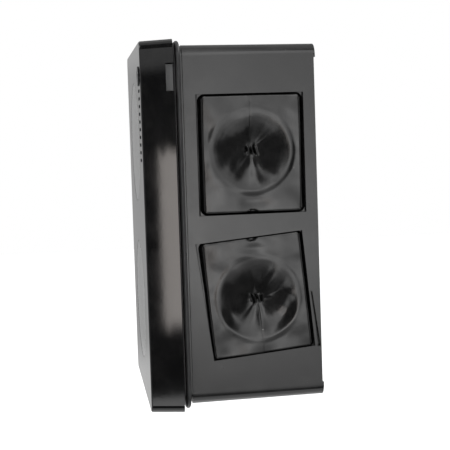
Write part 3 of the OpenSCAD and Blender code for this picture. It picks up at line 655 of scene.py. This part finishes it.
# how each pad sits; its strip is given by corners from the pad's own middle
pads = {
    "cable_pad_upper": {"middle": (-49.5, 51.1), "turn": 0, "seed": 0.7, "trough": 0,
                        "dents": dents, "stripTurn": 0,
                        "strip": ((-39.6, 44), (-38.7, 44), (-38.6, -44), (-39.6, -44))},
    "cable_pad_lower": {"middle": (-47.7, -53.0), "turn": 185, "seed": 2.9, "trough": 0.0036,
                        "dents": dents + leafDents, "stripTurn": 5,
                        "strip": ((-41.3, 43.2), (-40.1, 43.2), (-37.9, -43.2), (-38.1, -43.2))},
}


def padHeight(u, v, lie):
    # how far the skin stands out of the flat face, in mm, at a place on the pad
    du, dv = u, v - pad["dishUp"]
    seed = lie["seed"]
    radius = math.hypot(du, dv)
    angle = math.atan2(dv, du)
    height = -sinkAt(radius)
    inside = 1 - smoothStep(radius, 22, 31)
    folds = 0.0
    for count, lean, size in ripples:
        folds += size * math.sin(count * angle + lean + seed + 0.06 * radius)
    height += folds * inside * smoothStep(radius, 2.5, 11)
    for rise, middle, turn, long, short in lie["dents"]:
        height += rise * lump(du, dv, middle, turn, long, short)
    # the puckered middle: deep upright creases with raised petals between them
    for kind, across, up, reach, wide, lean in puckers:
        along = dv - up
        bend = lean * along + 0.04 * along * along * math.copysign(1, across)
        height += kind * math.exp(-((du - across - bend) / wide) ** 2 - (along / reach) ** 4)
    # a trough beside the slit, where the skin was drawn unevenly
    height -= lie["trough"] * du * du * smoothStep(dv, -2, 18) * inside
    # the slit that runs from the middle to the edge
    if dv > 0:
        wander = 0.25 * math.sin(v * 0.21 + seed)
        height -= 0.13 * math.exp(-((du - wander) / 0.24) ** 2) * smoothStep(dv, 3, 7)
        height += 0.12 * math.exp(-((du - wander) / 2.2) ** 2) * inside
    # thumb patch and soft waves in the flat skin
    flat = smoothStep(radius, 29, 34)
    height -= 0.4 * lump(u, v, (0, -35), 0, 7.5, 3.6) * flat
    wave = noise.noise(Vector((u * 0.045, v * 0.045, seed))) * 0.75
    wave += noise.noise(Vector((u * 0.12, v * 0.12, seed + 9))) * 0.12
    height += (wave - 0.25) * flat
    height += noise.noise(Vector((u * 0.9, v * 0.9, seed + 3))) * 0.006
    return height


def padLoops():
    # loops of (u, v) over the face, from the dish middle out to the pad's edge
    count = pad["around"]
    angles = [math.pi / 2 + 2 * math.pi * k / count for k in range(count)]
    radii = [0.25 * k for k in range(1, 41)] + [10 + 0.5 * k for k in range(1, 44)]
    loops = [[(radius * math.cos(a), pad["dishUp"] + radius * math.sin(a)) for a in angles]
             for radius in radii]
    edge = []
    for a in angles:
        # aim from the dish middle at the rounded outline around the pad's own middle
        u, v = roundedLoop(pad["width"] / 2, pad["height"] / 2, pad["corner"], a)
        edge.append((u + pad["shift"], v))
    rim = loops[-1]
    for k in range(1, pad["flatLoops"] + 1):
        t = k / pad["flatLoops"]
        loops.append([(p[0] + (e[0] - p[0]) * t, p[1] + (e[1] - p[1]) * t)
                      for p, e in zip(rim, edge)])
    return angles, loops, edge


def addStrip(bm, lie, low, high):
    # the moulded strip that fills part of the gap beside a pad
    c, s = math.cos(math.radians(lie["stripTurn"])), math.sin(math.radians(lie["stripTurn"]))
    corners, middle, edge = lie["strip"], lie["middle"], pad["stripEdge"]
    centreU = sum(u for u, v in corners) / len(corners)
    centreV = sum(v for u, v in corners) / len(corners)
    rows = []
    for inset, h in ((0, low), (0, high - edge), (edge, high)):
        row = []
        for u, v in corners:
            u -= math.copysign(inset, u - centreU)
            v -= math.copysign(inset, v - centreV)
            row.append(bm.verts.new(Vector((pad["face"] + h, middle[0] + u * c - v * s,
                                            middle[1] + u * s + v * c)) * mm))
        rows.append(row)
    joinRings(bm, rows)
    bm.faces.new(rows[-1])


def rolledFace(loops, lie):
    # the skin's front: its height, rolled over at the edge and cut by the finger notch
    rings = []
    for loop in loops:
        ring = []
        for u, v in loop:
            h = padHeight(u, v, lie)
            du = pad["width"] / 2 - abs(u - pad["shift"])
            dv = pad["height"] / 2 - abs(v)
            near = min(du, dv)
            roll = pad["rollSide"] if du < dv else pad["rollEnd"]
            if near < roll:
                h -= roll - math.sqrt(max(roll ** 2 - (roll - near) ** 2, 0))
            drop = math.hypot(u, v + pad["notchDrop"])
            reach = pad["notchReach"]
            h -= pad["notchDepth"] * (1 - smoothStep(drop, reach - 0.5, reach + 0.1))
            ring.append((u, v, h))
        rings.append(ring)
    return rings


def makePad(node, lie):
    angles, loops, edge = padLoops()
    skin, shift, middle = pad["skin"], pad["shift"], lie["middle"]
    halfWidth, halfHeight = pad["width"] / 2, pad["height"] / 2
    rings = rolledFace(loops, lie)
    wallFoot = -(pad["body"] - pad["lip"])
    lipBack = wallFoot - pad["lip"]
    # a deep groove runs round the pad, so the gap beside it reads dark
    rings.append([(u, v, wallFoot - 0.4) for u, v in edge])
    for grow, depth in ((1.0, -4.8), (2.05, wallFoot)):
        outline = [roundedLoop(halfWidth + grow, halfHeight + min(grow, 1.0 + grow / 9),
                               pad["corner"], a) for a in angles]
        rings.append([(u + shift, v, depth) for u, v in outline])
    lipTop = [roundedLoop(pad["lipWidth"] / 2, pad["lipHeight"] / 2, 3, a) for a in angles]
    rings.append([(u, v, wallFoot) for u, v in lipTop])
    rings.append([(u, v, lipBack) for u, v in lipTop])
    rings.append([((u - shift) * (1 - 4 / halfWidth) + shift, v * (1 - 4 / halfHeight), lipBack)
                  for u, v in edge])
    # the back of the skin follows every fourth loop of its front
    for loop in reversed(rings[:len(loops):4]):
        rings.append([(u, v, min(h - skin, 0.6 - pad["body"]) if math.hypot(u, v) > 33 else h - skin)
                      for u, v, h in loop])
    bm = bmesh.new()
    c, s = math.cos(math.radians(lie["turn"])), math.sin(math.radians(lie["turn"]))

    def place(u, v, h):
        y = middle[0] + u * c - v * s
        z = middle[1] + u * s + v * c
        if h <= wallFoot:
            y = min(max(y, pad["clampFront"]), pad["clampBack"])
        return bm.verts.new(Vector((pad["face"] + h, y, z)) * mm)

    grid = [[place(*point) for point in ring] for ring in rings]
    depth = padHeight(0, pad["dishUp"], lie)
    grid.insert(0, [place(0, pad["dishUp"], depth)])
    grid.append([place(0, pad["dishUp"], depth - skin)])
    joinRings(bm, grid)
    addStrip(bm, lie, wallFoot, pad["stripTop"])
    bmesh.ops.recalc_face_normals(bm, faces=bm.faces)
    standFor(meshObject(node + "_skin", bm, 50), node)


# Seal: a round bead outside the joint and a thin lip that the door's land presses
seal = {"steps": 20, "wrapSteps": 16, "corner": 9, "back": -99.2, "front": -103.2, "out": 3.3,
        "bulge": 2.0, "root": 1.6, "gap": 0.45, "foot": 0.5, "lipBack": -103.6,
        "lipFront": -104.7, "lipIn": 1.6, "lipOut": 0.4, "chamfer": 0.3}


def sweepFrame(bm, section, halfWidth, halfHeight, corner, steps):
    # carries a closed (out, y) section round a rounded rectangle in the X-Z plane
    loops = []
    for cx, cz, start in ((1, 1, 0), (-1, 1, 90), (-1, -1, 180), (1, -1, 270)):
        for k in range(steps + 1):
            a = math.radians(start + 90 * k / steps)
            loop = []
            for out, y in section:
                x = cx * (halfWidth - corner) + (corner + out) * math.cos(a)
                z = cz * (halfHeight - corner) + (corner + out) * math.sin(a)
                loop.append(bm.verts.new(Vector((x, y, z)) * mm))
            loops.append(loop)
    count = len(section)
    for n, loop in enumerate(loops):
        after = loops[(n + 1) % len(loops)]
        for k in range(count):
            bm.faces.new((loop[k], loop[(k + 1) % count], after[(k + 1) % count], after[k]))


def makeSeal():
    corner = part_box("rear_housing")[1] / mm
    halfWidth, halfHeight = round(corner.x, 3), round(corner.z, 3)
    beadBack = seal["back"] - seal["gap"]
    middle = (beadBack + seal["front"]) / 2
    half = (beadBack - seal["front"]) / 2
    # a foot under the gap keeps the bead closed against the housing
    foot = seal["foot"] - seal["root"]
    bead = [(-seal["root"], seal["back"]), (foot, seal["back"]), (foot, beadBack)]
    for k in range(seal["wrapSteps"] + 1):
        a = math.pi / 2 - math.pi * k / seal["wrapSteps"]
        bead.append((seal["out"] - seal["bulge"] * (1 - math.cos(a)), middle + half * math.sin(a)))
    bead.append((-seal["root"], seal["front"]))
    inner, outer, chamfer = -seal["lipIn"], seal["lipOut"], seal["chamfer"]
    tip = seal["lipFront"]
    lip = [(inner, seal["lipBack"]), (inner, tip + chamfer), (inner + chamfer, tip),
           (outer - chamfer, tip), (outer, tip + chamfer), (outer, seal["lipBack"])]
    bm = bmesh.new()
    for section in (bead, lip):
        sweepFrame(bm, section, halfWidth, halfHeight, seal["corner"], seal["steps"])
    bmesh.ops.recalc_face_normals(bm, faces=bm.faces)
    standFor(meshObject("door_seal_bead", bm, 50), "door_seal")


# Round pieces on an axis along Y: flat stepped windows and dimpled diffusers
def ringAt(bm, radius, y, z, count):
    # the points of one circle, or its single middle point
    if not radius:
        return [bm.verts.new(Vector((0, y, z)) * mm)]
    ring = []
    for k in range(count):
        a = 2 * math.pi * k / count
        ring.append(bm.verts.new(Vector((radius * math.cos(a), y, z + radius * math.sin(a))) * mm))
    return ring


def joinRings(bm, rings):
    for first, second in zip(rings, rings[1:]):
        count = max(len(first), len(second))
        for k in range(count):
            n = (k + 1) % count
            if len(first) == 1:
                bm.faces.new((first[0], second[n], second[k]))
            elif len(second) == 1:
                bm.faces.new((first[k], first[n], second[0]))
            else:
                bm.faces.new((first[k], first[n], second[n], second[k]))


def middleHeight(node):
    low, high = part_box(node)
    return round((low.z + high.z) / 2 / mm, 3)


window = {"pane": 45.7, "lip": 48.8, "front": -128.96, "step": -125.4, "back": -123.4,
          "rings": 24, "rim": 0.4, "backReach": 44, "around": 192, "chamfer": 0.2}


def makeWindow(node):
    z = middleHeight(node)
    pane, lip, chamfer, count = window["pane"], window["lip"], window["chamfer"], window["rings"]
    front, step, back = window["front"], window["step"], window["back"]
    # (radius, y) from the middle of the front, over the rim, to the middle of the back
    profile = [((pane - window["rim"]) * k / count, front) for k in range(count + 1)]
    profile += [(pane - 0.12, front + 0.04), (pane, front + 0.16), (pane, step),
                (lip - chamfer, step), (lip, step + chamfer), (lip, back - chamfer),
                (lip - chamfer, back)]
    profile += [(window["backReach"] * k / count, back) for k in range(count, -1, -1)]
    bm = bmesh.new()
    joinRings(bm, [ringAt(bm, radius, y, z, window["around"]) for radius, y in profile])
    bmesh.ops.recalc_face_normals(bm, faces=bm.faces)
    standFor(meshObject(node + "_turned", bm), node)


dimples = {"reach": 47.6, "pitch": 3.6, "rowPitch": 3.6 * 0.866, "rise": 0.5, "step": 0.62,
           "fade": 1.5, "rim": 0.4, "floor": 0.55, "around": 320}


def dimpleRise(u, v):
    # height of the small round lens that covers this place on the disc
    pitch, rowPitch = dimples["pitch"], dimples["rowPitch"]
    row = round(v / rowPitch)
    offset = 0.5 * (row % 2)
    column = round(u / pitch - offset)
    away = math.hypot(u - (column + offset) * pitch, v - row * rowPitch)
    near = min(away / (pitch / 2), 1)
    return dimples["rise"] * math.sqrt(max(1 - near * near, 0))


def makeDiffuser(node):
    low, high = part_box(node)
    front, back = low.y / mm, high.y / mm
    radius = (high.x - low.x) / 2 / mm
    z, around = middleHeight(node), dimples["around"]
    bm = bmesh.new()
    rings = [ringAt(bm, 0, front + 0.1, z, around)]
    covered = radius - dimples["rim"]
    loops = int(covered / dimples["step"])
    for n in range(1, loops + 1):
        r = covered * n / loops
        fade = 1 - smoothStep(r, dimples["reach"] - dimples["fade"], dimples["reach"])
        ring = []
        for k in range(around):
            a = 2 * math.pi * k / around
            u, v = r * math.cos(a), r * math.sin(a)
            y = front + dimples["floor"] - dimpleRise(u, v) * fade
            ring.append(bm.verts.new(Vector((u, y, z + v)) * mm))
        rings.append(ring)
    for r, y in ((radius, front + 0.8), (radius, back - 0.3), (radius - 0.3, back),
                 (radius / 2, back), (0, back)):
        rings.append(ringAt(bm, r, y, z, around))
    joinRings(bm, rings)
    bmesh.ops.recalc_face_normals(bm, faces=bm.faces)
    standFor(meshObject(node + "_dimpled", bm, 60), node)


# the build itself: room and finishes first, then the pieces

makeCamera()
made = dressNodes()
makeWorld()
makeFloor()
areaLight("key", studio["keyPlace"], studio["keySize"], studio["keyPower"])
areaLight("rim", studio["rimPlace"], studio["rimSize"], studio["rimPower"])
bpy.context.scene.view_settings.view_transform = "Standard"
print("camera, room and finishes made")

for node in ("window_upper", "window_lower"):
    makeWindow(node)
for node in ("diffuser_upper", "diffuser_lower"):
    makeDiffuser(node)
print("windows and diffusers turned")
for node, lie in pads.items():
    makePad(node, lie)
print("cable pads pressed")
makeSeal()

for node, (width, steps) in softened.items():
    softEdges(node, width, steps)
print("edges rounded")
